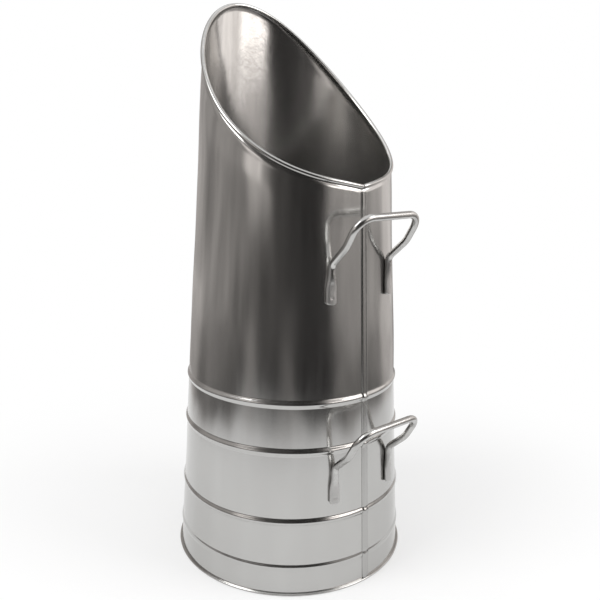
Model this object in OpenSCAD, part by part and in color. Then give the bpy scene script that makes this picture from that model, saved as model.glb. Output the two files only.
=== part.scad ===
// Coal hod of bright plated sheet steel.
// A tapering round bucket whose oblique, scooped mouth is curled outward round a wire.
// The wall is one sheet: swaged beads ring it, and a folded lock seam joins its ends
// at the front, below the low lip. The base is folded round the wall's out-turned foot.
// Two bent wire handles straddle the seam, their flattened legs spot-welded to the wall.
// Origin: centre of the base, on the floor. +Z is up, and the seam and handles face -Y.

/* [Bucket] */
// Outside diameter of the wall at the floor
base_d = 225; // [190:1:260]
// Lean of the wall towards the axis, in degrees
taper = 3.3; // [0:0.1:5]
// Thickness of the sheet
sheet = 0.6; // [0.5:0.05:0.8]
// Gap between layers of sheet that are folded together
fold_gap = 0.1; // [0.05:0.01:0.15]

/* [Mouth] */
// Height of the rim at the seam, its lowest point
lip_low_h = 366; // [350:1:390]
// Height of the rim at the back, its highest point
lip_high_h = 531; // [480:1:560]
// Height of the rim at the two sides
lip_side_h = 433; // [422:1:440]
// Depth of the small vee where the rim meets the seam
vee_drop = 3; // [0:0.5:5]
// Angle round the wall, on each side of the seam, over which the vee fades out
vee_span = 20; // [10:1:30]

/* [Wired edge] */
// Diameter of the wire inside the curled edge
rim_wire_d = 2.5; // [2:0.1:4]
// Clearance between the wire and the sheet curled round it
curl_gap = 0.15; // [0.1:0.01:0.25]
// How far round the wire the sheet is curled, in degrees
curl_turn = 303; // [240:1:306]
// Lean of the sheet where it bends in under the wire, in degrees
curl_lean = 35; // [25:1:45]
// Distance between the two ends of the curl, at the seam
curl_end_gap = 1.2; // [0.6:0.1:3]

/* [Beads] */
// Height of the shallow bead near the foot
foot_bead_h = 26.5; // [20:0.5:40]
// Height of the lowest full bead
low_bead_h = 70.5; // [58:0.5:74]
// Height of the middle bead
mid_bead_h = 136; // [134:0.5:148]
// Height of the top bead
top_bead_h = 180; // [164:0.5:200]
// Height of a bead's own outline
bead_w = 8; // [6:0.5:12]
// How far a full bead stands out from the wall
bead_proud = 1.5; // [0.8:0.1:2.5]
// How far the shallow bead stands out from the wall
foot_bead_proud = 1; // [0.4:0.1:1.5]

/* [Lock seam] */
// Width of the folded seam at the foot
seam_w = 7.5; // [5:0.5:10]
// How far the seam stands out from the wall
seam_proud = 1.4; // [0.9:0.1:2.2]
// Width of the rounded shoulder along each edge of the seam
seam_round = 0.6; // [0.3:0.1:1]

/* [Foot] */
// How far the folded foot stands out from the wall
foot_out = 2.3; // [2.3:0.1:5]

/* [Handles] */
// Diameter of the handle wire
wire_d = 6.3; // [4.5:0.1:8]
// Distance of each leg from the seam's middle
leg_side = 34; // [26:1:40]
// Length of a leg, from its end to the bend at its top
leg_len = 34; // [30:1:36]
// Width of the flattened leg
leg_w = 9.5; // [8:0.1:11]
// Thickness of the flattened leg
leg_t = 3.6; // [2.5:0.1:4.5]
// Width of the grip, between the middles of its two arms
grip_w = 74; // [66:1:90]
// How far the grip stands out beyond the legs
grip_out = 33; // [28:1:45]
// How far the grip rises above the bends at the tops of the legs
grip_up = 42; // [34:1:50]
// Radius of the bends at the tops of the legs, along the middle of the wire
bend_r = 10; // [8:0.5:12]
// How far the middle of each arm bows sideways, away from the other arm
arm_spread = 2; // [0:0.5:4]
// Radius of the slow bend in the middle of each arm, where it turns upward
arm_bend_r = 30; // [20:1:36]
// Radius of the bends at the ends of the grip
grip_bend_r = 15; // [10:0.5:18]
// Height of the bends at the tops of the upper handle's legs
upper_handle_h = 302; // [290:1:310]
// Height of the bends at the tops of the lower handle's legs
lower_handle_h = 121; // [119:1:122]
// Diameter of the dish that a weld leaves on a leg
weld_d = 5; // [3:0.5:6]
// Depth of that dish
weld_depth = 0.35; // [0.1:0.05:0.6]

/* [Hidden] */

$fn = 96;
small_fn = 24;
steel_color = [0.76, 0.76, 0.75];
wire_color = [0.66, 0.66, 0.65];

// Wall and foot
base_r = base_d / 2;
lean = tan(taper);
foot_r = base_r + foot_out;
foot_h = 3 * sheet + 2 * fold_gap;
fold_mid_r = foot_r - foot_h / 2;
wall_bottom = sheet + fold_gap;

// Mouth: the rim's height follows the cosines of the angle round the wall
smooth_low_h = lip_low_h + vee_drop;
mouth_mid_h = (smooth_low_h + lip_high_h + 2 * lip_side_h) / 4;
mouth_tilt_h = (lip_high_h - smooth_low_h) / 2;
mouth_scoop_h = (smooth_low_h + lip_high_h - 2 * lip_side_h) / 4;

// Curled edge: the sheet leans in under the wire, runs up inside it and hooks outward over
// it, so that the wire sits over the sheet's own middle
curl_in_r = rim_wire_d / 2 + curl_gap;
curl_out_r = curl_in_r + sheet;
curl_centre_u = -sheet / 2;
curl_start = 180 + curl_lean;
curl_reach = (curl_in_r * cos(curl_lean) - curl_centre_u) / sin(curl_lean);
curl_foot_v = -curl_in_r * sin(curl_lean) - curl_reach * cos(curl_lean);
curl_steps = 8;
rim_stations = 96;
rim_probe = 0.3;
wire_sides = 8;

// Beads, from the foot up, as height and stand-out
beads = [[foot_bead_h, foot_bead_proud], [low_bead_h, bead_proud],
    [mid_bead_h, bead_proud], [top_bead_h, bead_proud]];
bead_steps = 5;

// The wall is turned to just below the low lip. Above that it is drawn in stations round
// the mouth, as far as the curl. The drawn part laps over the turned part's top edge by
// this thickness on each face, reaches this far below it, and fades to the sheet above it.
split_drop = 14;
split_h = lip_low_h - split_drop;
lap = 0.2;
lap_drop = 1;
lap_fade = 3;

// Seam: its half width, less its steep side, less its shoulder, as angles round the wall
seam_side = 0.3;
seam_angle = asin(seam_w / 2 / base_r);
seam_side_angle = asin((seam_w / 2 - seam_side) / base_r);
seam_crown_angle = asin((seam_w / 2 - seam_side - seam_round) / base_r);
seam_shoulder_share = 0.7;
seam_foot_clear = 0.3;
seam_end_clear = 0.6;
seam_end_ramp = 0.5;

// Legs: the wire is pressed flat over most of its leg and swells back to round at the top
leg_seat = 0.05;
leg_swell = 6;
swell_steps = 6;
leg_corner_r = leg_w / 5;
corner_steps = 3;
low_bend_steps = 5;
arm_bend_steps = 4;
grip_bend_steps = 8;
arm_out_share = 0.55;
arm_up_share = 0.4;
handle_sides = 16;
bend_run = 2;
weld_shares = [0.25, 0.75];

function unit(v) = v / norm(v);

// Outer radius of the bare wall at a height
function wall_r(z) = base_r - z * lean;

// Stand-out of the beads at a height: each is one wave of a cosine
function bump(z, bead) =
    abs(z - bead[0]) < bead_w / 2 ? bead[1] * (1 + cos(360 * (z - bead[0]) / bead_w)) / 2 : 0;
function outer_r(z) = wall_r(z) + max([for (bead = beads) bump(z, bead)]);

// Heights at which the turned wall's profile has a corner
profile_heights =
    [for (bead = beads, i = [-bead_steps : bead_steps]) bead[0] + i * bead_w / 2 / bead_steps];

// Height of the rim at an angle round the wall, counted from the seam
function from_seam(a) = a > 180 ? 360 - a : abs(a);
function vee_at(a) =
    from_seam(a) < vee_span ? vee_drop * pow(1 - from_seam(a) / vee_span, 2) : 0;
function rim_h(a) =
    mouth_mid_h - mouth_tilt_h * cos(a) + mouth_scoop_h * cos(2 * a) - vee_at(a);

// Points and directions on the wall
function wall_point(a, z) = [wall_r(z) * sin(a), -wall_r(z) * cos(a), z];
function wall_normal(a) = unit([sin(a), -cos(a), lean]);
function wall_rise(a) = unit([-lean * sin(a), lean * cos(a), 1]);
function rim_point(a) = wall_point(a, rim_h(a));

// A point of the rim's cross-section: u is out from the wall, v is up along it
function rim_place(a, p) =
    let (out = wall_normal(a),
        along = unit(rim_point(a + rim_probe) - rim_point(a - rim_probe)),
        up = cross(out, along))
    rim_point(a) + p[0] * out + p[1] * up;

function arc(r, from, to, steps) =
    [for (i = [0 : steps]) let (t = from + (to - from) * i / steps)
        [curl_centre_u + r * cos(t), r * sin(t)]];

// Stand-out of the lock seam at an angle round the wall
function seam_at(a) =
    let (d = from_seam(a))
    d > (seam_angle + seam_side_angle) / 2 ? 0
        : d > (seam_side_angle + seam_crown_angle) / 2 ? seam_proud * seam_shoulder_share
        : seam_proud;

// Angles round the mouth at which its section is drawn, with the seam's own corners
station_step = 360 / rim_stations;
stations = concat(
    [0, seam_crown_angle, seam_side_angle, seam_angle],
    [for (i = [1 : rim_stations - 1]) i * station_step],
    [360 - seam_angle, 360 - seam_side_angle, 360 - seam_crown_angle]);

// Sheet above the split: up the outside, round the wire and back, and down the inside
function upper_section(a) =
    let (foot = wall_point(a, split_h - lap_drop),
        start = wall_point(a, split_h + lap_fade),
        out = [sin(a), -cos(a), 0],
        seam_end = curl_foot_v - seam_end_clear,
        hook = concat(
            [[seam_at(a), seam_end - seam_end_ramp], [0, seam_end], [0, curl_foot_v]],
            arc(curl_in_r, curl_start, curl_start - curl_turn, curl_steps),
            arc(curl_out_r, curl_start - curl_turn, curl_start, curl_steps),
            [[-sheet, curl_foot_v]]))
    concat(
        [foot + (seam_at(a) + lap) * out, start + seam_at(a) * out],
        [for (p = hook) rim_place(a, p)],
        [start - sheet * out, foot - (sheet + lap) * out]);

function wire_section(a) =
    [for (i = [0 : wire_sides - 1]) let (t = 360 * i / wire_sides)
        rim_place(a, [curl_centre_u + rim_wire_d / 2 * cos(t), rim_wire_d / 2 * sin(t)])];

// Closed loop of rings with the same number of points
module looped(rings) {
    n = len(rings[0]);
    count = len(rings);
    faces = [for (i = [0 : count - 1], j = [0 : n - 1])
        let (a = i * n, b = (i + 1) % count * n, k = (j + 1) % n)
        each [[a + j, a + k, b + k], [a + j, b + k, b + j]]];
    polyhedron(points = [for (ring = rings) each ring], faces = faces, convexity = 10);
}

// Stack of rings with the same number of points, closed at both ends
module stacked(rings) {
    n = len(rings[0]);
    last = len(rings) - 1;
    sides = [for (i = [0 : last - 1], j = [0 : n - 1])
        let (a = i * n, b = (i + 1) * n, k = (j + 1) % n)
        each [[a + j, b + j, b + k], [a + j, b + k, a + k]]];
    ends = [[for (j = [0 : n - 1]) j], [for (j = [n - 1 : -1 : 0]) last * n + j]];
    polyhedron(points = [for (ring = rings) each ring], faces = concat(sides, ends));
}

// Turned wall that follows the beads, from a depth inside its outer face to a stand-out
module wall_ring(inside, outside, bottom, top, angle) {
    heights = concat([bottom], [for (z = profile_heights) if (z > bottom && z < top) z], [top]);
    rotate([0, 0, -90 - angle / 2])
        rotate_extrude(angle = angle)
            polygon(concat(
                [for (z = heights) [outer_r(z) + outside, z]],
                [for (i = [len(heights) - 1 : -1 : 0])
                    [outer_r(heights[i]) - inside, heights[i]]]));
}

// Foot of the wall, turned out flat, with a round edge
module wall_foot() {
    inner = wall_r(wall_bottom) - sheet;
    rotate_extrude()
        translate([0, wall_bottom]) {
            translate([inner, 0])
                square([fold_mid_r - inner, sheet]);
            translate([fold_mid_r, sheet / 2])
                circle(d = sheet, $fn = small_fn);
        }
}

// Folded seam of the turned wall, with a lower shoulder along each edge
module lock_seam() {
    foot = foot_h + seam_foot_clear;
    wall_ring(sheet / 2, seam_proud * seam_shoulder_share, foot, split_h, 2 * seam_side_angle);
    wall_ring(sheet / 2, seam_proud, foot + seam_end_ramp, split_h, 2 * seam_crown_angle);
}

// Slot between the two ends of the curl, where they meet at the seam
module curl_slot() {
    depth = 2 * curl_out_r;
    translate([-curl_end_gap / 2, -wall_r(lip_low_h) - depth, lip_low_h - curl_out_r - sheet])
        cube([curl_end_gap, depth, depth + sheet]);
}

// The wall's sheet, with its beads, seam, turned foot and curled edge
module body() {
    color(steel_color) {
        wall_ring(sheet, 0, wall_bottom, split_h, 360);
        wall_foot();
        lock_seam();
        difference() {
            looped([for (a = stations) upper_section(a)]);
            curl_slot();
        }
    }
}

// Wire that stiffens the mouth, hidden in the curl but for the slot at its ends
module rim_wire() {
    color(wire_color)
        looped([for (i = [0 : rim_stations - 1]) wire_section(i * station_step)]);
}

// Base disc, its edge folded up and back over the foot of the wall
module base() {
    lip_r = wall_r(foot_h) + fold_gap;
    slot_h = foot_h - 2 * sheet;
    color(steel_color)
        rotate_extrude() {
            square([fold_mid_r, sheet]);
            difference() {
                union() {
                    translate([lip_r, 0])
                        square([fold_mid_r - lip_r, foot_h]);
                    translate([fold_mid_r, foot_h / 2])
                        circle(d = foot_h, $fn = small_fn);
                }
                translate([0, sheet])
                    square([fold_mid_r, slot_h]);
                translate([fold_mid_r, foot_h / 2])
                    circle(d = slot_h, $fn = small_fn);
            }
        }
}

// Section of the handle wire at a place along it: x is its width, y its thickness.
// Share 0 is the flattened leg, of a given width, and share 1 the round wire.
function wire_ring(place, along, ref, share, w) =
    let (y = unit(ref - (ref * along) * along), x = cross(y, along))
    [for (i = [0 : handle_sides - 1])
        let (t = 360 * (i + 0.5) / handle_sides,
            flat_x = (cos(t) > 0 ? 1 : -1) * (w - leg_t) / 2 + leg_t / 2 * cos(t),
            px = (1 - share) * flat_x + share * wire_d / 2 * cos(t),
            py = (1 - share) * leg_t / 2 * sin(t) + share * wire_d / 2 * sin(t))
        place + px * x + py * y];

// Length that a bend of radius r takes off each of the straights that meet at its corner
function bend_length(before, corner, after, r) =
    r * tan(acos(unit(corner - before) * unit(after - corner)) / 2);

// Rings round a bend at a corner of the wire's path, between the straights that meet there
function bend_rings(before, corner, after, r, ref, steps) =
    let (a = unit(corner - before),
        b = unit(after - corner),
        turn = acos(a * b),
        centre = corner + unit(b - a) * r / cos(turn / 2),
        x = unit(corner - a * bend_length(before, corner, after, r) - centre))
    [for (i = [0 : steps]) let (t = turn * i / steps)
        wire_ring(centre + r * (cos(t) * x + sin(t) * a), cos(t) * a - sin(t) * x,
            ref, 1, leg_w)];

// Width of the leg near its rounded end
function leg_width(s) =
    s < leg_corner_r
        ? leg_w - 2 * (leg_corner_r - sqrt(pow(leg_corner_r, 2) - pow(leg_corner_r - s, 2)))
        : leg_w;

// Rings from the end of one leg up to its bend, out and up the arm, and round to the grip
function half_handle(foot, rise, out, flat_len, shift, bend, knee, corner) =
    let (face = unit(cross([1, 0, 0], corner - bend)),
        across = corner - [grip_w, 0, 0])
    concat(
        [for (i = [0 : corner_steps]) let (s = leg_corner_r * (1 - cos(90 * i / corner_steps)))
            wire_ring(foot + s * rise, rise, out, 0, leg_width(s))],
        [for (i = [0 : swell_steps]) let (t = i / swell_steps, share = t * t * (3 - 2 * t))
            wire_ring(foot + (flat_len + t * leg_swell) * rise + share * shift * out,
                rise, out, share, leg_w)],
        bend_rings(bend - rise, bend, knee, bend_r, face, low_bend_steps),
        bend_rings(bend, knee, corner, arm_bend_r, face, arm_bend_steps),
        bend_rings(knee, corner, across, grip_bend_r, face, grip_bend_steps));

// Dish left by a weld on the face of a leg
module weld_dish() {
    dish_r = (pow(weld_d / 2, 2) + pow(weld_depth, 2)) / (2 * weld_depth);
    translate([0, leg_t / 2 - weld_depth + dish_r, 0])
        sphere(r = dish_r, $fn = 2 * small_fn);
}

// Places a child at a point, with its x, y and z along three directions
module framed(origin, x, y, z) {
    multmatrix([
        [x[0], y[0], z[0], origin[0]],
        [x[1], y[1], z[1], origin[1]],
        [x[2], y[2], z[2], origin[2]],
        [0, 0, 0, 1]])
        children();
}

// Wire handle: two legs flat on the wall, two arms that reach out and up, and a grip
module handle(bend_h) {
    angle = asin(leg_side / wall_r(bend_h - leg_len / 2));
    out = wall_normal(angle);
    rise = wall_rise(angle);
    wire_off = leg_seat + wire_d / 2;
    flat_off = leg_seat + leg_t / 2;
    bend = wall_point(angle, bend_h) + wire_off * out;
    corner = [grip_w / 2, bend[1] - grip_out, bend[2] + grip_up];
    knee = bend + [arm_spread, -arm_out_share * grip_out, arm_up_share * grip_up];
    foot = wall_point(angle, bend_h) + flat_off * out - rise * leg_len;
    flat_len = leg_len - leg_swell - bend_run - bend_length(bend - rise, bend, knee, bend_r);
    half = half_handle(foot, rise, out, flat_len, wire_off - flat_off, bend, knee, corner);
    other = [for (i = [len(half) - 1 : -1 : 0]) [for (p = half[i]) [-p[0], p[1], p[2]]]];
    difference() {
        stacked(concat(half, other));
        for (side = [0, 1], share = weld_shares)
            mirror([side, 0, 0])
                framed(foot + flat_len * share * rise, unit(cross(out, rise)), out, rise)
                    weld_dish();
    }
}

module upper_handle() {
    color(wire_color)
        handle(upper_handle_h);
}

module lower_handle() {
    color(wire_color)
        handle(lower_handle_h);
}

body();
rim_wire();
base();
upper_handle();
lower_handle();
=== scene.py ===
# %% [markdown]
# # A coal hod of bright plated sheet
#
# The hod is five things: a rolled wall with a curled mouth, a wire inside that
# curl, a base disc folded round the foot, and two bent wire handles. The packed
# CAD model gives their places. Here each one is drawn again with finer curves,
# because polished metal shows every flat facet as a hard stripe.

# %% Load the frame
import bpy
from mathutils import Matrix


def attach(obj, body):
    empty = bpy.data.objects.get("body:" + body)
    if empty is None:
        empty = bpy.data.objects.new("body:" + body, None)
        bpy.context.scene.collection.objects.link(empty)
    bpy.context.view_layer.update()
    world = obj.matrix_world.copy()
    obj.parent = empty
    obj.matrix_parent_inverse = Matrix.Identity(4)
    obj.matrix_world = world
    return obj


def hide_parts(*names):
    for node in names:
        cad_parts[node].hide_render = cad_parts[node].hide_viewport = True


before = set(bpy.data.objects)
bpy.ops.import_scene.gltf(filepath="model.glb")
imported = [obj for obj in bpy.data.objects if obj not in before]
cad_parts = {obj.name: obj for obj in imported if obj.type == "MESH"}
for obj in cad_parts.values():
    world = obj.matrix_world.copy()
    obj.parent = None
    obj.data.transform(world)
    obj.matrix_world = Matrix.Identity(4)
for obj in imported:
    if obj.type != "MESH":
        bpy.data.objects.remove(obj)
print("nodes of the frame:", list(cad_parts))

from math import asin, copysign, cos, degrees, pi, radians, sin, sqrt, tan

import bpy
from mathutils import Matrix, Vector

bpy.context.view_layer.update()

# %% [markdown]
# ## The camera
#
# The photograph was taken from a little above the mouth, with the seam turned
# to the viewer's right. The camera's place, tilt and roll were worked out from
# the outlines of the mouth and of the foot. A lens of middle length is used, so
# the foot looks a little narrower than it would from far away.

# %% The camera
SEAM_TURN = 40.0
CAMERA_DISTANCE, CAMERA_HEIGHT = 0.6636, 0.4051
CAMERA_PITCH, CAMERA_YAW, CAMERA_ROLL = 13.165, 0.618, 0.991
LENS, SENSOR = 41.44, 36.0


def seen(x, y, z):
    """A direction or place given as the camera sees it, turned to the hod's own axes."""
    turn = Matrix.Rotation(radians(-SEAM_TURN), 3, "Z")
    return turn @ Vector((x, y, z))


pitch, yaw, roll = (radians(a) for a in (CAMERA_PITCH, CAMERA_YAW, CAMERA_ROLL))
forward = seen(sin(yaw) * cos(pitch), cos(yaw) * cos(pitch), -sin(pitch))
level = seen(cos(yaw), -sin(yaw), 0)
upward = level.cross(forward)
right = cos(roll) * level + sin(roll) * upward
above = -sin(roll) * level + cos(roll) * upward

bpy.ops.object.camera_add(location=seen(0, -CAMERA_DISTANCE, CAMERA_HEIGHT))
camera = bpy.context.object
camera.rotation_mode = "QUATERNION"
camera.rotation_quaternion = Matrix((right, above, -forward)).transposed().to_quaternion()
camera.data.lens = LENS
camera.data.sensor_width = SENSOR
bpy.context.scene.camera = camera
print("camera at", [round(c, 3) for c in camera.location])

# %% [markdown]
# ## The sizes of the hod
#
# Every curve below comes from the same few sizes as the CAD model, in
# millimetres: the cone of the wall, the beads that ring it, the height of the
# mouth at each angle, and the round of the curled edge. An angle is counted
# round the wall from the seam, which faces -Y.

# %% Sizes of the wall, in millimetres
MM = 0.001
BASE_R, LEAN = 112.5, tan(radians(3.3))
SHEET = 0.6
FOLD_GAP = 0.1
FOOT_OUT = 2.3
FOOT_R = BASE_R + FOOT_OUT
FOOT_H = 3 * SHEET + 2 * FOLD_GAP
FOLD_MID_R = FOOT_R - FOOT_H / 2
BEAD_W = 8.0
BEADS = ((26.5, 1.0), (70.5, 1.5), (136, 1.5), (180, 1.5))


def wall_r(z):
    return BASE_R - z * LEAN


def bead_out(z):
    """How far the beads stand out from the cone at a height."""
    out = 0.0
    for height, proud in BEADS:
        if abs(z - height) < BEAD_W / 2:
            out = max(out, proud * (1 + cos(2 * pi * (z - height) / BEAD_W)) / 2)
    return out


# %% Height of the mouth round the wall
LIP_LOW, LIP_HIGH, LIP_SIDE = 366.0, 531.0, 433.0
VEE_DROP, VEE_SPAN = 3.0, 20.0
SMOOTH_LOW = LIP_LOW + VEE_DROP


def from_seam(a):
    a = a % 360
    return min(a, 360 - a)


def rim_h(a):
    d = from_seam(a)
    vee = VEE_DROP * (1 - d / VEE_SPAN) ** 2 if d < VEE_SPAN else 0.0
    mid = (SMOOTH_LOW + LIP_HIGH + 2 * LIP_SIDE) / 4
    tilt = (LIP_HIGH - SMOOTH_LOW) / 2
    scoop = (SMOOTH_LOW + LIP_HIGH - 2 * LIP_SIDE) / 4
    return mid - tilt * cos(radians(a)) + scoop * cos(radians(2 * a)) - vee


# %% Places on the wall and on the rim
RIM_PROBE = 0.3


def outward(a):
    return Vector((sin(radians(a)), -cos(radians(a)), LEAN)).normalized()


def around(a, r, z):
    return Vector((r * sin(radians(a)), -r * cos(radians(a)), z))


def rim_point(a):
    return around(a, wall_r(rim_h(a)), rim_h(a))


def rim_place(a, u, v):
    """A point of the rim's section: u is out from the wall, and v is up along it."""
    out = outward(a)
    along = (rim_point(a + RIM_PROBE) - rim_point(a - RIM_PROBE)).normalized()
    return rim_point(a) + u * out + v * out.cross(along)


print("rim heights at the seam, side and back:", [round(rim_h(a), 1) for a in (0, 90, 180)])

# %% [markdown]
# ## Bending a flat blank
#
# A tinsmith starts from a flat blank and bends it, and so do these pieces. A
# grid primitive is the blank: it has the right number of cells, and then each
# of its corners is moved to its place on the bent piece. Spinning a profile
# would be simpler, but the mouth of this hod rises and falls round the wall, so
# no spun shape can follow it.

# %% Helpers for bent pieces
def select_only(piece):
    bpy.ops.object.select_all(action="DESELECT")
    piece.select_set(True)
    bpy.context.view_layer.objects.active = piece


def bent_blank(name, columns, rows, place):
    """A grid of cells whose corner in column i and row j goes to place(i, j), in mm."""
    bpy.ops.object.select_all(action="DESELECT")
    bpy.ops.mesh.primitive_grid_add(x_subdivisions=columns, y_subdivisions=rows, size=1)
    piece = bpy.context.object
    piece.name = name
    for vertex in piece.data.vertices:
        i = round((vertex.co.x + 0.5) * columns)
        j = round((vertex.co.y + 0.5) * rows)
        vertex.co = place(i, j) * MM
    return piece


def joined(piece, fill=False, outside=True):
    """Merges the edges that meet, closes open ends if asked, and turns faces outwards."""
    select_only(piece)
    bpy.ops.object.mode_set(mode="EDIT")
    bpy.ops.mesh.select_all(action="SELECT")
    bpy.ops.mesh.remove_doubles(threshold=0.000002)
    if fill:
        bpy.ops.mesh.fill_holes(sides=0)
        bpy.ops.mesh.select_all(action="SELECT")
    if outside:
        bpy.ops.mesh.normals_make_consistent(inside=False)
    bpy.ops.object.mode_set(mode="OBJECT")
    return piece


def given_thickness(piece, thickness):
    """Gives a bent sheet its thickness, half to each side."""
    select_only(piece)
    bpy.ops.object.modifier_add(type="SOLIDIFY")
    solidify = piece.modifiers[-1]
    solidify.thickness = thickness * MM
    solidify.offset = 0
    bpy.ops.object.modifier_apply(modifier=solidify.name)
    return piece


def smoothed(piece, angle=40):
    select_only(piece)
    bpy.ops.object.shade_smooth_by_angle(angle=radians(angle))
    size = [round(d * 1000, 1) for d in piece.dimensions]
    print(piece.name, "measures", size, "mm, with", len(piece.data.polygons), "faces")
    return piece


# %% [markdown]
# ## The wall
#
# The wall is one sheet. From the foot up it is turned out flat under the hem of
# the base, bends up into the cone, swells at each bead, and at the mouth hooks
# out and over round the wire. The blank's rows follow that path, close together
# where it curves. Rolled sheet is never quite true, and bright metal shows it,
# so the wall also wanders in and out by a fraction of a millimetre.

# %% How the wall wanders
WANDER = 0.22
WANDER_WAVES = ((2, 0.013, 20, 0.9), (3, 0.021, 110, 0.7), (5, 0.017, 250, 0.55),
                (7, 0.031, 40, 0.35), (4, 0.043, 310, 0.3))


def step(x, low, high):
    t = min(max((x - low) / (high - low), 0), 1)
    return t * t * (3 - 2 * t)


def wander(a, z):
    """In and out, in mm; nothing near the seam and its handles, the foot or the rim."""
    free = (step(from_seam(a), 23, 40) * step(z, 4, 20)
            * (1 - step(z, rim_h(a) - 30, rim_h(a) - 5)))
    total = sum(size * sin(radians(turns * a + phase) + rate * z * 2)
                for turns, rate, phase, size in WANDER_WAVES)
    return WANDER * free * total


# %% Columns of the wall: even steps, and closer ones beside the seam
RIM_WIRE_R = 1.25
CURL_MID_R = RIM_WIRE_R + 0.15 + SHEET / 2
CURL_U = -SHEET / 2
CURL_LEAN = 35.0
CURL_START, CURL_TURN = 180 + CURL_LEAN, 303.0
CURL_END_GAP = 1.2
slot_angle = degrees(CURL_END_GAP / 2 / wall_r(LIP_LOW))
near_seam = [slot_angle, 0.8, 1.4, 2.1, 3.0, 4.0]
WALL_COLUMNS = 240
even = [k * 360 / WALL_COLUMNS for k in range(4, WALL_COLUMNS - 3)]
columns = [0.0] + near_seam + even + [360 - a for a in reversed(near_seam)] + [360.0]
print("the wall has", len(columns) - 1, "columns")

# %% Rows of the wall, from the flat foot to the end of the curl
SPLIT_H = LIP_LOW - 14
wall_bottom = SHEET + FOLD_GAP
BEND_R = 0.9
BEND_STEPS, BEAD_STEPS, CURL_STEPS, UPPER_ROWS, NECK_ROWS = 4, 14, 22, 16, 7
BESIDE_BEAD = (0.25, 0.6)
bead_rows = [h + BEAD_W * (k / BEAD_STEPS - 0.5)
             for h, _ in BEADS for k in range(BEAD_STEPS + 1)]
bead_rows += [h + side * (BEAD_W / 2 + gap) for h, _ in BEADS
              for side in (-1, 1) for gap in BESIDE_BEAD]
plain_rows = [9, 16, 38, 48, 58, 82, 94, 106, 118, 126,
              147, 155, 164, 171, 193, 206, 222, 240, 258, 276, 294, 312, 332]
straight = sorted(bead_rows + plain_rows)
straight = [z for z in straight if z < SPLIT_H]


def foot_path(k):
    """Radius and height along the flat foot and its bend up into the wall."""
    mid_h = wall_bottom + SHEET / 2
    if k < 2:
        return (FOLD_MID_R + 0.2 - k * (FOLD_MID_R + 0.2 - wall_r(mid_h) - BEND_R + SHEET / 2),
                mid_h)
    t = radians(90 * (k - 1) / BEND_STEPS)
    return (wall_r(mid_h) - SHEET / 2 + BEND_R * (1 - sin(t)),
            mid_h + BEND_R * (1 - cos(t)))


FOOT_ROWS = BEND_STEPS + 2
wall_rows = FOOT_ROWS + len(straight) + UPPER_ROWS + NECK_ROWS + CURL_STEPS
print("the wall has", wall_rows + 1, "rows of corners")


# %% The neck under the curl, where the sheet leans in below the wire
NECK_START, NECK_CORNER = 6.0, 3.0


def curl_point(k):
    """Middle of the sheet in step k round the wire, as out from and up along the wall."""
    t = radians(CURL_START - CURL_TURN * k / CURL_STEPS)
    return CURL_U + CURL_MID_R * cos(t), CURL_MID_R * sin(t)


# %% Where each corner of the blank goes
def wall_place(i, j):
    a = columns[i]
    if j < FOOT_ROWS:
        r, z = foot_path(j)
        return around(a, r, z)
    j -= FOOT_ROWS
    if j < len(straight):
        z = straight[j]
        return around(a, wall_r(z) + bead_out(z) - SHEET / 2 + wander(a, z), z)
    j -= len(straight)
    if j < UPPER_ROWS:
        t = j / UPPER_ROWS
        z = SPLIT_H + t * (rim_h(a) - NECK_START - SPLIT_H)
        return around(a, wall_r(z) - SHEET / 2 + wander(a, z), z)
    j -= UPPER_ROWS
    if j < NECK_ROWS:
        t = j / NECK_ROWS
        start = Vector((-SHEET / 2, -NECK_START))
        corner = Vector((-SHEET / 2, -NECK_CORNER))
        end = Vector(curl_point(0))
        u, v = (1 - t) ** 2 * start + 2 * t * (1 - t) * corner + t * t * end
        return rim_place(a, u, v)
    return rim_place(a, *curl_point(j - NECK_ROWS))


wall = bent_blank("bucket_wall", len(columns) - 1, wall_rows, wall_place)
joined(wall, outside=False)

# %% Open the gap where the two ends of the curl meet
select_only(wall)
bpy.ops.object.mode_set(mode="EDIT")
bpy.ops.mesh.select_mode(type="FACE")
bpy.ops.mesh.select_all(action="DESELECT")
bpy.ops.object.mode_set(mode="OBJECT")
in_gap = 0
for face in wall.data.polygons:
    x, y, z = (c / MM for c in face.center)
    face.select = abs(x) < CURL_END_GAP / 2 and y < 0 and z > LIP_LOW - 2
    in_gap += face.select
bpy.ops.object.mode_set(mode="EDIT")
bpy.ops.mesh.delete(type="FACE")
bpy.ops.object.mode_set(mode="OBJECT")
print("faces taken out of the curl at the seam:", in_gap)

# %% Give the wall its thickness
given_thickness(wall, SHEET)
smoothed(wall)

# %% [markdown]
# ## The lock seam
#
# The two edges of the wall are hooked into each other and pressed flat. From
# outside this is a low strip: a rounded fold on one side, a sharp groove where
# the other sheet tucks under, and a lower step beyond it. It could be drawn as
# a bump on the wall, but its groove has to look dark and crisp, so the strip is
# a blank of its own that is bent over the wall and set into it.

# %% The strip's section: distance across the seam, and height above the wall
SEAM_W, SEAM_PROUD = 7.5, 1.4
SEAM_SECTION = ((-0.50, -0.30), (-0.50, 0.05), (-0.49, 0.30), (-0.455, 0.50),
                (-0.40, 0.75), (-0.345, 0.95), (-0.30, 1.02), (0.0, 1.02), (0.12, 1.0),
                (0.165, 0.92), (0.185, 0.60), (0.195, 0.12), (0.22, 0.10), (0.245, 0.22),
                (0.305, 0.66), (0.34, 0.74), (0.40, 0.74), (0.45, 0.66), (0.475, 0.52),
                (0.495, 0.28), (0.50, 0.0), (0.50, -0.30), (-0.50, -0.30))
seam_bottom, seam_top = FOOT_H + 0.3, LIP_LOW - 4.2
seam_rows = sorted([z for z in straight if seam_bottom + 1 < z < seam_top - 4]
                   + [seam_bottom, seam_top, seam_top - 2])


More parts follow.
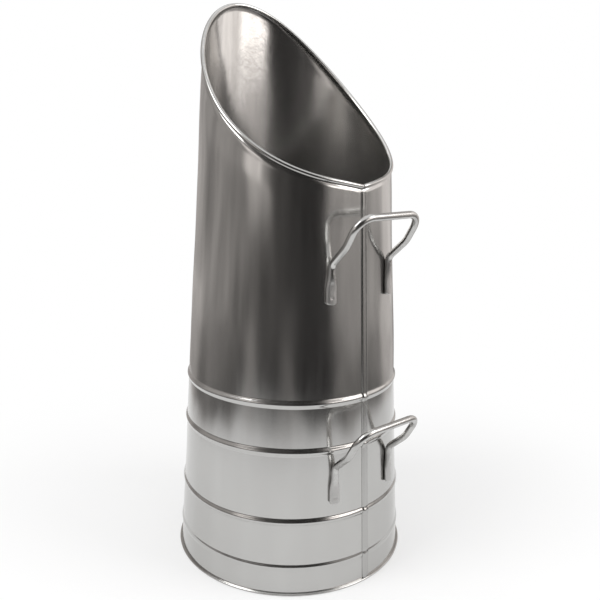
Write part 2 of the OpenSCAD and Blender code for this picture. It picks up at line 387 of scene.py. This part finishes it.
def seam_place(i, j):
    across, up = SEAM_SECTION[i]
    z = seam_rows[j]
    r = wall_r(z) + bead_out(z) + up * SEAM_PROUD
    a = across * 2 * degrees(SEAM_W / 2 / BASE_R)
    return around(a, r, z)


seam = bent_blank("lock_seam", len(SEAM_SECTION) - 1, len(seam_rows) - 1, seam_place)
joined(seam, fill=True)
smoothed(seam, 50)

# %% [markdown]
# ## The wire in the mouth
#
# A round wire runs inside the curl and stiffens the mouth. Only a little of it
# shows, in the gap at the seam, but it closes the dark hole there.

# %% The rim wire
RIM_STEPS, RIM_SIDES = 240, 16


def rim_wire_place(i, j):
    a, t = 360 * i / RIM_STEPS, 2 * pi * j / RIM_SIDES
    return rim_place(a, CURL_U + RIM_WIRE_R * cos(t), RIM_WIRE_R * sin(t))


rim_wire = joined(bent_blank("mouth_wire", RIM_STEPS, RIM_SIDES, rim_wire_place))
smoothed(rim_wire, 60)

# %% [markdown]
# ## The base
#
# The base is a disc whose edge is folded up and back over the foot of the wall.
# A filled circle is the start, and its edge is drawn out in steps, each one an
# extrusion that is scaled and lifted, until it has gone round the fold and back
# in over the foot. Then the sheet gets its thickness.

# %% The base disc and its hem
HEM_R = (FOOT_H - SHEET) / 2
HEM_STEPS = 12
BASE_SIDES = 240
hem_end_r = wall_r(FOOT_H) + FOLD_GAP

bpy.ops.object.select_all(action="DESELECT")
bpy.ops.mesh.primitive_circle_add(vertices=BASE_SIDES, radius=40 * MM, fill_type="NGON",
                                  location=(0, 0, 0))
base = bpy.context.object
base.name = "base_pan"
for vertex in base.data.vertices:
    vertex.co.z = SHEET / 2 * MM
base_path = [(75, SHEET / 2), (100, SHEET / 2), (109, SHEET / 2), (FOLD_MID_R, SHEET / 2)]
base_path += [(FOLD_MID_R + HEM_R * sin(radians(180 * k / HEM_STEPS)),
               SHEET / 2 + HEM_R * (1 - cos(radians(180 * k / HEM_STEPS))))
              for k in range(1, HEM_STEPS + 1)]
base_path += [((FOLD_MID_R + hem_end_r) / 2, SHEET / 2 + 2 * HEM_R),
              (hem_end_r, SHEET / 2 + 2 * HEM_R)]

# %% Draw the edge out along the path
select_only(base)
bpy.ops.object.mode_set(mode="EDIT")
bpy.ops.mesh.select_mode(type="EDGE")
bpy.ops.mesh.select_all(action="SELECT")
r_now, z_now = 40.0, SHEET / 2
for r_next, z_next in base_path:
    bpy.ops.mesh.extrude_edges_move(
        TRANSFORM_OT_translate={"value": (0, 0, (z_next - z_now) * MM)})
    grow = r_next / r_now
    bpy.ops.transform.resize(value=(grow, grow, 1), center_override=(0, 0, 0))
    r_now, z_now = r_next, z_next
bpy.ops.object.mode_set(mode="OBJECT")
joined(base, outside=False)
given_thickness(base, SHEET)
smoothed(base)

# %% [markdown]
# ## The handles
#
# Each handle is one length of wire. Its two ends are pressed flat and spot
# welded to the wall, the arms reach out and then up over a soft knee, and the
# grip joins them. A blank is wrapped round the wire's path: a flat oval on the
# legs that swells back to a circle before the bend. The welding tips leave two
# shallow dishes on each leg, which are pressed into the blank as it is bent.

# %% Sizes of the handles, in millimetres
WIRE_D, LEG_SIDE, LEG_LEN, LEG_W, LEG_T = 6.3, 34.0, 34.0, 9.5, 4.4
GRIP_W, GRIP_OUT, GRIP_UP = 74.0, 33.0, 42.0
ARM_OUT_SHARE, ARM_UP_SHARE, ARM_SPREAD = 0.55, 0.4, 2.0
LOW_BEND_R, ARM_BEND_R, GRIP_BEND_R = 10.0, 30.0, 15.0
LEG_SEAT, LEG_SWELL, BEND_RUN, LEG_CORNER_R = 0.05, 16.0, 2.0, LEG_W / 5
WELD_D, WELD_DEPTH = 4.4, 0.4
WELDS_UP = (5.8, 17.0)

# Corners round the wire, and how far the flat legs' section leans to an oval
HANDLE_SIDES = 48
LEG_ROUND = 0.5

# Steps along a leg's end, its flat, its swell, and the bends at leg, knee and grip
END_STEPS, FLAT_STEPS, SWELL_STEPS = 6, 44, 12
LOW_BEND_STEPS, KNEE_STEPS, GRIP_BEND_STEPS = 12, 10, 24


def bend_length(before, corner, after, r):
    turn = (corner - before).angle(after - corner)
    return r * tan(turn / 2)


def bend_stations(before, corner, after, r, ref, steps):
    """Places round a bend: point, direction along, reference direction, share, width."""
    a, b = (corner - before).normalized(), (after - corner).normalized()
    turn = a.angle(b)
    centre = corner + (b - a).normalized() * r / cos(turn / 2)
    x = (corner - a * bend_length(before, corner, after, r) - centre).normalized()
    return [(centre + r * (cos(t) * x + sin(t) * a), cos(t) * a - sin(t) * x,
             ref, 1.0, LEG_W)
            for t in (turn * k / steps for k in range(steps + 1))]


def leg_width(s):
    if s >= LEG_CORNER_R:
        return LEG_W
    return LEG_W - 2 * (LEG_CORNER_R - sqrt(LEG_CORNER_R ** 2 - (LEG_CORNER_R - s) ** 2))


# %% The path of one handle, from one leg's end over the grip to the other's
def handle_frame(bend_h):
    """The leg's foot, its directions along and out of the wall, and its flat length."""
    angle = degrees(asin(LEG_SIDE / wall_r(bend_h - LEG_LEN / 2)))
    out = outward(angle)
    rise = Vector((-LEAN * sin(radians(angle)), LEAN * cos(radians(angle)), 1)).normalized()
    on_wall = around(angle, wall_r(bend_h), bend_h)
    bend = on_wall + (LEG_SEAT + WIRE_D / 2) * out
    corner = Vector((GRIP_W / 2, bend.y - GRIP_OUT, bend.z + GRIP_UP))
    knee = bend + Vector((ARM_SPREAD, -ARM_OUT_SHARE * GRIP_OUT, ARM_UP_SHARE * GRIP_UP))
    foot = on_wall + (LEG_SEAT + LEG_T / 2) * out - rise * LEG_LEN
    flat = LEG_LEN - LEG_SWELL - BEND_RUN - bend_length(bend - rise, bend, knee, LOW_BEND_R)
    return foot, rise, out, flat, bend, knee, corner


def handle_path(bend_h):
    foot, rise, out, flat, bend, knee, corner = handle_frame(bend_h)
    face = Vector((1, 0, 0)).cross(corner - bend).normalized()
    half = []
    for k in range(END_STEPS + 1):
        s = LEG_CORNER_R * (1 - cos(radians(90 * k / END_STEPS)))
        half.append((foot + s * rise, rise, out, 0.0, leg_width(s)))
    for k in range(1, FLAT_STEPS):
        s = LEG_CORNER_R + (flat - LEG_CORNER_R) * k / FLAT_STEPS
        half.append((foot + s * rise, rise, out, 0.0, LEG_W))
    for k in range(SWELL_STEPS + 1):
        t = k / SWELL_STEPS
        share = t * t * (3 - 2 * t)
        shift = share * (WIRE_D - LEG_T) / 2
        half.append((foot + (flat + t * LEG_SWELL) * rise + shift * out, rise, out,
                     share, LEG_W))
    half += bend_stations(bend - rise, bend, knee, LOW_BEND_R, face, LOW_BEND_STEPS)
    half += bend_stations(bend, knee, corner, ARM_BEND_R, face, KNEE_STEPS)
    half += bend_stations(knee, corner, corner - Vector((GRIP_W, 0, 0)), GRIP_BEND_R,
                          face, GRIP_BEND_STEPS)
    mirrored = Matrix.Diagonal((-1, 1, 1))
    other = [(mirrored @ p, -(mirrored @ along), mirrored @ ref, share, w)
             for p, along, ref, share, w in reversed(half)]
    return half + other


# %% The section of the wire at each place of its path
def section_point(station, j):
    place, along, ref, share, width = station
    y = (ref - ref.dot(along) * along).normalized()
    x = y.cross(along)
    t = 2 * pi * (j + 0.5) / HANDLE_SIDES
    flat_x = copysign((width - LEG_T) / 2, cos(t)) + LEG_T / 2 * cos(t)
    flat_x = (1 - LEG_ROUND) * flat_x + LEG_ROUND * width / 2 * cos(t)
    px = (1 - share) * flat_x + share * WIRE_D / 2 * cos(t)
    py = ((1 - share) * LEG_T + share * WIRE_D) / 2 * sin(t)
    return place + px * x + py * y


def pressed(point, welds, out):
    """Pushes a point of the leg's face down into the dish of a weld."""
    for weld in welds:
        off = point - weld
        height = off.dot(out)
        away = (off - height * out).length
        if height > LEG_T * 0.2 and away < WELD_D / 2:
            point = point - WELD_DEPTH * (1 - (2 * away / WELD_D) ** 2) * out
    return point


def bent_handle(name, bend_h):
    foot, rise, out, _, bend = handle_frame(bend_h)[:5]
    path = handle_path(bend_h)
    mirrored = Matrix.Diagonal((-1, 1, 1))
    welds = [foot + up * rise for up in WELDS_UP]
    sides = ((1, welds, out), (-1, [mirrored @ w for w in welds], mirrored @ out))

    def place(i, j):
        point = section_point(path[i], j)
        for side, spots, away in sides:
            if point.x * side > 0 and point.z < bend.z:
                point = pressed(point, spots, away)
        return point

    handle = joined(bent_blank(name, len(path) - 1, HANDLE_SIDES, place), fill=True)
    return smoothed(handle, 50)


UPPER_H, LOWER_H = 302.0, 121.0
upper = bent_handle("upper_handle_wire", UPPER_H)
lower = bent_handle("lower_handle_wire", LOWER_H)

# %% [markdown]
# ## Place in the model
#
# Each finished piece stands for its node of the CAD model, which is hidden,
# and rides on the one body there is: nothing on this hod moves.

# %% What each piece stands for
for piece, node, finish_slot in ((wall, "body", "plated_sheet"),
                                 (rim_wire, "rim_wire", "plated_wire"),
                                 (base, "base", "plated_sheet"),
                                 (upper, "upper_handle", "plated_wire"),
                                 (lower, "lower_handle", "plated_wire")):
    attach(piece, "root")
    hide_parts(node)
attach(seam, "root")

# %% [markdown]
# ## Finishes
#
# A finish is a graph of nodes. Writing the sums as Python keeps it readable: a
# socket is wrapped in a small class, and adding or multiplying two of them adds
# the Math node that does it.

# %% Shader sums as Python expressions
class Value:
    """An output socket of a finish, which takes part in sums as a number does."""

    def __init__(self, finish, socket):
        self.finish, self.socket = finish, socket

    def with_math(self, operation, a, b):
        return self.finish.node("ShaderNodeMath", {"operation": operation}, {0: a, 1: b})

    def __add__(self, other):
        return self.with_math("ADD", self, other)

    def __sub__(self, other):
        return self.with_math("SUBTRACT", self, other)

    def __mul__(self, other):
        return self.with_math("MULTIPLY", self, other)

    def __truediv__(self, other):
        return self.with_math("DIVIDE", self, other)

    def __rsub__(self, other):
        return self.with_math("SUBTRACT", other, self)

    __radd__ = __add__
    __rmul__ = __mul__


# %% A material and the nodes it is made of
class Finish:
    """A material, whose patterns lie on the piece's own coordinates."""

    def __init__(self, name):
        self.material = bpy.data.materials.new(name)
        self.material.use_nodes = True
        self.tree = self.material.node_tree
        self.shader = self.tree.nodes["Principled BSDF"]
        self.end = self.tree.nodes["Material Output"]
        self.place = self.node("ShaderNodeTexCoord", {}, {}, "Object")

    def node(self, kind, settings, inputs, output=0):
        made = self.tree.nodes.new(kind)
        stops = settings.pop("stops", None)
        for name, value in settings.items():
            setattr(made, name, value)
        if stops:
            ramp = made.color_ramp.elements
            while len(ramp) < len(stops):
                ramp.new(1)
            for element, (at, level) in zip(ramp, stops):
                element.position = at
                element.color = (level, level, level, 1)
        self.fill(made, inputs)
        return Value(self, made.outputs[output])

    def fill(self, made, inputs):
        for key, value in inputs.items():
            if isinstance(value, Value):
                self.tree.links.new(value.socket, made.inputs[key])
            else:
                made.inputs[key].default_value = value

    def shade(self, **inputs):
        self.fill(self.shader, {key.replace("_", " "): v for key, v in inputs.items()})

    def noise(self, scale, detail=2.0, rough=0.5, stretch=(1, 1, 1), shift=(0, 0, 0)):
        """Cloudy noise on the piece, from 0 to 1, drawn out or squeezed along an axis."""
        at = self.node("ShaderNodeMapping", {}, {"Vector": self.place, "Scale": stretch,
                                                 "Location": shift})
        return self.node("ShaderNodeTexNoise", {}, {
            "Vector": at, "Scale": scale, "Detail": detail, "Roughness": rough})

    def ramp(self, value, stops):
        return self.node("ShaderNodeValToRGB", {"stops": stops}, {0: value})

    def mixed(self, mask, a, b):
        """Colour a where the mask is 0, and b where it is 1."""
        return self.node("ShaderNodeMix", {"data_type": "RGBA"}, {0: mask, 6: a, 7: b}, 2)

    def mapped(self, value, low, high, start=0.0, end=1.0, blend="SMOOTHSTEP"):
        """Takes low..high to start..end, and holds those two beyond the limits."""
        return self.node("ShaderNodeMapRange", {"interpolation_type": blend},
                         {0: value, 1: low, 2: high, 3: start, 4: end})

    def axis(self, place, number):
        """One coordinate of a place: 0 for X, 1 for Y, 2 for Z."""
        return self.node("ShaderNodeSeparateXYZ", {}, {0: place}, number)

    def from_axis(self):
        """The place seen from the hod's axis at its own height."""
        return self.node("ShaderNodeVectorMath", {"operation": "MULTIPLY"},
                         {0: self.place, 1: (1, 1, 0)})

    def length(self, place):
        return self.node("ShaderNodeVectorMath", {"operation": "LENGTH"}, {0: place}, "Value")

    def facing_in(self):
        """1 on faces that look towards the hod's axis, and 0 on those that look away."""
        normal = self.node("ShaderNodeTexCoord", {}, {}, "Normal")
        way = self.node("ShaderNodeVectorMath", {"operation": "DOT_PRODUCT"},
                        {0: self.from_axis(), 1: normal}, "Value")
        return self.node("ShaderNodeMath", {"operation": "LESS_THAN"}, {0: way, 1: 0.0})

    def relief(self, height):
        """A bump made from a height in metres."""
        return self.node("ShaderNodeBump", {}, {"Strength": 1.0, "Distance": 1.0,
                                                "Height": height})


# %% [markdown]
# ## Plated sheet
#
# Bright plated steel is nearly a mirror. What tells it from chrome is that the
# mirror is slightly blurred, in fine streaks that run down the wall as it was
# rolled, and that the sheet is softly uneven, so every reflection wavers. The
# colour is a light grey with a trace of warmth, a little darker in patches.
# Inside, the sheet is mottled and lighter than outside, partly a cleaner face
# and partly painted light for the light that bounces round inside. It is rubbed
# duller the deeper it goes, and painted light makes it lighter there as well.

# %% Colours of the sheet
SHEET_DARK, SHEET_LIGHT = (0.455, 0.45, 0.438), (0.53, 0.527, 0.518)
# Inside, lighter than outside: partly a cleaner face, partly painted light for the light that
# bounces round inside
INSIDE_DARK, INSIDE_LIGHT = (0.48, 0.473, 0.46, 1), (0.64, 0.633, 0.622, 1)
# Painted light: a pale colour mixed in more the deeper inside, at most half-way
INSIDE_PAINTED_LIGHT = (0.8, 0.79, 0.77, 1)

# Heights between which the inside turns from rubbed and lightened with painted light to
# bright, in metres
RUBBED_AND_PAINTED_LIGHT_H, BRIGHT_H = 0.36, 0.52


# %% The sheet's finish
def plated_sheet(name, level, wear):
    """Bright sheet: level scales how much it reflects, and wear adds to its blur."""
    metal = Finish(name)
    streaks = metal.noise(260, 3, 0.6, (1, 1, 0.03))
    broad = metal.noise(34, 2, 0.5, (1, 1, 0.12), (0.3, 0, 0))
    cloud = metal.noise(9, 4, 0.55, (1, 1, 0.7), (1.7, 0.4, 0))
    specks = metal.noise(900, 2, 0.6, (1, 1, 0.5))
    tone = metal.ramp(cloud * 0.6 + broad * 0.4, [(0.25, 0.0), (0.75, 1.0)])
    outer = metal.mixed(tone, [c * level for c in SHEET_DARK] + [1],
                        [c * level for c in SHEET_LIGHT] + [1])
    runs = metal.ramp(metal.noise(42, 4, 0.6, (1, 1, 0.16), (0.6, 0.1, 0)),
                      [(0.35, 0.0), (0.65, 1.0)])
    inner = metal.mixed(runs, INSIDE_DARK, INSIDE_LIGHT)
    depth = metal.mapped(metal.axis(metal.place, 2), RUBBED_AND_PAINTED_LIGHT_H, BRIGHT_H, 1.0, 0.0)
    # Painted light, lighter the deeper inside; the same depth also dulls the inside
    inner_with_painted_light = metal.mixed(depth * 0.5, inner, INSIDE_PAINTED_LIGHT)
    faces_in = metal.facing_in()
    colour = metal.mixed(faces_in, outer, inner_with_painted_light)
    blur = metal.ramp(streaks * 0.5 + cloud * 0.5, [(0.3, 0.0), (0.7, 1.0)])
    mottle = metal.noise(150, 3, 0.6, (1, 1, 0.7), (0.5, 0.2, 0))
    waves = metal.noise(14, 1, 0.4, (1, 1, 0.45), (0, 0.9, 0.2))
    ripple = metal.noise(45, 2, 0.5, (1, 1, 0.22), (0.2, 0, 0.6))
    height = (waves * 0.0011 + ripple * 0.00007 + streaks * 0.000004
              + mottle * (faces_in * 0.00008 + 0.00001) + specks * 0.0000012)
    outer_blur = blur * 0.07 + (0.13 + wear)
    inner_blur = mottle * 0.01 + depth * 0.09 + 0.16
    metal.shade(Base_Color=colour, Metallic=1.0, Normal=metal.relief(height),
                Roughness=outer_blur + faces_in * (inner_blur - outer_blur))
    return metal.material


# %% [markdown]
# ## Plated wire
#
# The wire is bright too, but drawn rather than rolled, so it is cloudier and has
# fine scratches. Its legs, which were pressed flat and welded, are duller.

# %% Colours of the wire
WIRE_DARK, WIRE_LIGHT = (0.44, 0.435, 0.425, 1), (0.58, 0.577, 0.565, 1)
LEG_COLOUR = (0.49, 0.485, 0.475, 1)

# How far off the wall the legs' duller skin ends, and the bright wire begins, in metres
LEG_SKIN, BRIGHT_WIRE = 0.0047, 0.0066


# %% The wire's finish
def plated_wire():
    metal = Finish("plated_wire")
    cloud = metal.noise(60, 3, 0.6)
    fine = metal.noise(700, 2, 0.6)
    tone = metal.ramp(cloud, [(0.3, 0.0), (0.7, 1.0)])
    bright = metal.mixed(tone, WIRE_DARK, WIRE_LIGHT)
    off_wall = (metal.length(metal.from_axis()) + metal.axis(metal.place, 2) * LEAN
                - BASE_R * MM)
    leg = metal.mapped(off_wall, LEG_SKIN, BRIGHT_WIRE, 1.0, 0.0)
    metal.shade(Base_Color=metal.mixed(leg, bright, LEG_COLOUR), Metallic=1.0,
                Roughness=tone * -0.06 + (leg * 0.22 + 0.24),
                Normal=metal.relief(cloud * 0.00012 + fine * 0.000006))
    return metal.material


# %% Put the finishes on
def finished(piece, material):
    piece.data.materials.clear()
    piece.data.materials.append(material)


sheet_metal, wire_metal = plated_sheet("plated_sheet", 1.0, 0.0), plated_wire()
for piece in (wall, base):
    finished(piece, sheet_metal)
finished(seam, plated_sheet("plated_seam", 0.88, 0.06))
for piece in (rim_wire, upper, lower):
    finished(piece, wire_metal)
print("finishes:", sheet_metal.name, wire_metal.name, seam.data.materials[0].name)

# %% [markdown]
# ## The studio
#
# Polished metal has no look of its own: it shows the room. The hod stood on
# white paper that ran out just in front of it, facing a dark room with a bright
# soft light on its right, and grey walls ran on at both sides. So there is a
# pale floor, a white surround, and a curtain almost all the way round that only
# reflections see.

# %% The floor: lit paper near the hod, and plain white far from it
FLOOR_SIZE = 40.0
LIT_R, WHITE_R, NEAR_WHITE = 0.2, 0.55, 0.35

bpy.ops.object.select_all(action="DESELECT")
bpy.ops.mesh.primitive_plane_add(size=FLOOR_SIZE, location=(0, 0, 0))
floor = bpy.context.object
floor.name = "floor"

paper = Finish("pale_floor")
paper.shade(Base_Color=(0.9, 0.9, 0.9, 1), Roughness=0.9)
far = paper.mapped(paper.length(paper.place), LIT_R, WHITE_R, NEAR_WHITE, 1.0)
white = paper.node("ShaderNodeEmission", {}, {"Color": (1, 1, 1, 1), "Strength": 1.0})
lit = Value(paper, paper.shader.outputs[0])
both = paper.node("ShaderNodeMixShader", {}, {0: far, 1: lit, 2: white})
paper.fill(paper.end, {"Surface": both})
finished(floor, paper.material)

# %% The surround: white to the camera and to reflections, a plain level elsewhere
SURROUND_LIGHT, SURROUND_SEEN = 0.75, 1.0

world = bpy.data.worlds.new("studio")
bpy.context.scene.world = world
world.use_nodes = True
tree = world.node_tree
background = tree.nodes["Background"]
background.inputs["Color"].default_value = (1, 1, 1, 1)
path = tree.nodes.new("ShaderNodeLightPath")
is_seen = path.outputs["Is Camera Ray"]
for ray in ("Is Glossy Ray", "Is Transmission Ray"):
    either = tree.nodes.new("ShaderNodeMath")
    either.operation = "MAXIMUM"
    tree.links.new(is_seen, either.inputs[0])
    tree.links.new(path.outputs[ray], either.inputs[1])
    is_seen = either.outputs[0]
strength = tree.nodes.new("ShaderNodeMapRange")
strength.inputs["To Min"].default_value = SURROUND_LIGHT
strength.inputs["To Max"].default_value = SURROUND_SEEN
tree.links.new(is_seen, strength.inputs["Value"])
tree.links.new(strength.outputs[0], background.inputs["Strength"])

# %% The curtain and the dark ground in front of the paper, seen by reflections only
CURTAIN_R, CURTAIN_TOP = 1.6, 1.9
CURTAIN_TURN = 172.0
CURTAIN_COLUMNS = 96
PAPER_END, GROUND_H = 0.42, 0.004


def only_in_reflections(thing):
    thing.visible_camera = False
    thing.visible_diffuse = False
    thing.visible_shadow = False
    thing.visible_transmission = False


def curtain_place(i, j):
    a = radians(-SEAM_TURN - CURTAIN_TURN + 2 * CURTAIN_TURN * i / CURTAIN_COLUMNS)
    reach, height = ((PAPER_END, GROUND_H), (CURTAIN_R, GROUND_H), (CURTAIN_R, CURTAIN_TOP))[j]
    return Vector((reach * sin(a), -reach * cos(a), height)) / MM


curtain = bent_blank("dark_curtain", CURTAIN_COLUMNS, 2, curtain_place)
only_in_reflections(curtain)

# %% [markdown]
# ## The curtain's light
#
# Angles are counted from the camera, positive to its right, and heights from
# the floor. Hanging folds of cloth grow from a few broad bands: black behind
# the camera and grey towards the sides. Softly edged lights are added to them.

# %% The curtain's bands: an angle in degrees and the light there
BANDS = ((-172, 0.36), (-145, 0.34), (-113, 0.30), (-91, 0.44), (-73, 0.40), (-56, 0.26),
         (-41, 0.16), (-26, 0.10), (-12, 0.075), (2, 0.05), (16, 0.035), (31, 0.04),
         (42, 0.36), (61, 0.42), (78, 0.46), (98, 0.42), (123, 0.44), (145, 0.42),
         (172, 0.36))
cloth = Finish("curtain_bands")
turned = cloth.node("ShaderNodeMapping", {}, {"Vector": cloth.place,
                                              "Rotation": (0, 0, radians(SEAM_TURN))})
across, back, height = (cloth.axis(turned, number) for number in range(3))
angle = cloth.node("ShaderNodeMath", {"operation": "ARCTAN2"}, {0: across, 1: back * -1.0})
reach = cloth.length(cloth.place)
folds = cloth.noise(2.4, 3, 0.6, (1, 1, 0.8))
low_down = cloth.mapped(height, 0.0, 0.3, 1.0, 0.0)
share = ((angle * (1 - low_down * 0.2) + (folds - 0.5) * 0.7) / (2 * radians(CURTAIN_TURN))
         + 0.5)
bands = cloth.ramp(share, [((a + CURTAIN_TURN) / (2 * CURTAIN_TURN), level)
                           for a, level in BANDS])
patches = cloth.noise(5.5, 4, 0.6, (1, 1, 0.6), (0.4, 0.7, 0.1)) * 2.2 - 0.1
near = cloth.mapped(reach, 0.6, 1.5, 0.42, 1.0, "LINEAR")


# %% Soft lights between two angles, and between two heights
def window(value, low, high, soft):
    """1 where a value is between two limits, with soft edges, and 0 elsewhere."""
    rise = cloth.mapped(value, low - soft, low + soft)
    fall = cloth.mapped(value, high - soft, high + soft)
    return rise * (1 - fall)


def wedge(first, last, level, soft):
    """A light between two angles in degrees, whose edges are soft by an angle in radians."""
    return window(angle, radians(first), radians(last), soft) * level


def soft_box(first, last, low, high, level, soft=0.08):
    """A wedge that is also kept between two heights in metres."""
    return wedge(first, last, 1.0, soft) * window(height, low, high, 0.05) * level


# %% The lights on the cloth, plain ones and ones broken by the cloth's patches
PLAIN_BOXES = ((40, 80, 0.54, 0.8, 2.5), (40, 80, 0.54, 1.5, 0.5), (80, 116, 0.46, 1.5, 0.75),
               (95, 140, 0.24, 1.5, 0.14), (-120, -62, 0.48, 1.5, 0.09),
               (-66, -46, 0.14, 1.5, 0.06), (-165, -120, -1, 1.5, 0.14, 0.12),
               (116, 152, 0.03, 1.5, 0.4, 0.12))
PATCHY_BOXES = ((-56, -34, 0.50, 0.8, 0.75), (-56, -34, 0.50, 1.4, 0.25),
                (-50, -25, 0.30, 0.52, 0.42))
boxes = (sum(soft_box(*box) for box in PLAIN_BOXES)
         + sum(soft_box(*box) for box in PATCHY_BOXES) * patches)

# %% Pools of light on the dark ground
POOLS = ((-48, -37, 0.2, 0.07), (-9, 3, 0.13, 0.07), (-165, -118, 0.13, 0.12),
         (109, 149, 0.32, 0.1))
ground = window(height, -1, 0.03, 0.01) * sum(wedge(*pool) for pool in POOLS)

# %% Where the paper ends: an uneven edge, out to the dark ground
PAPER_EDGE = ((-56, -30, -0.09, 0.14), (-132, -80, 0.09, 0.14), (-34, 50, -0.05, 0.14))
PAPER_LIGHT = 0.95
edge = (cloth.noise(4.5, 2, 0.5, (1, 1, 0), (0.2, 0.5, 0)) * 0.25
        + sum(wedge(*stretch) for stretch in PAPER_EDGE))
paper_left = cloth.mapped(reach + edge, 0.61, 0.76, 1.0, 0.0)

# %% The curtain's light, a little warm where it is cloth
dark = (bands * patches * near + boxes + ground) * (1 - paper_left)
hue = cloth.mixed(paper_left, (1.0, 0.945, 0.912, 1), (1, 1, 1, 1))
glow = cloth.node("ShaderNodeEmission", {}, {
    "Color": hue, "Strength": dark + paper_left * PAPER_LIGHT})
cloth.fill(cloth.end, {"Surface": glow})
finished(curtain, cloth.material)
print("the curtain has", len(cloth.tree.nodes), "nodes")

# %% Colours are shown as they are, with no film look
bpy.context.scene.view_settings.view_transform = "Standard"

# %% The lamps
LAMPS_AIM = Vector((0, 0, 0.25))


def soft_lamp(name, place, size, power):
    """A square lamp that looks at the middle of the hod."""
    bpy.ops.object.light_add(type="AREA", location=seen(*place))
    lamp = bpy.context.object
    lamp.name = name
    lamp.data.shape = "SQUARE"
    lamp.data.size = size
    lamp.data.energy = power
    lamp.rotation_mode = "QUATERNION"
    aim = LAMPS_AIM - lamp.location
    lamp.rotation_quaternion = aim.to_track_quat("-Z", "Y")
    lamp.visible_camera = False
    return lamp


soft_lamp("lamp_left", (-0.9, -0.5, 1.3), 0.7, 9)
soft_lamp("lamp_right", (1.1, -0.3, 1.1), 0.7, 6)
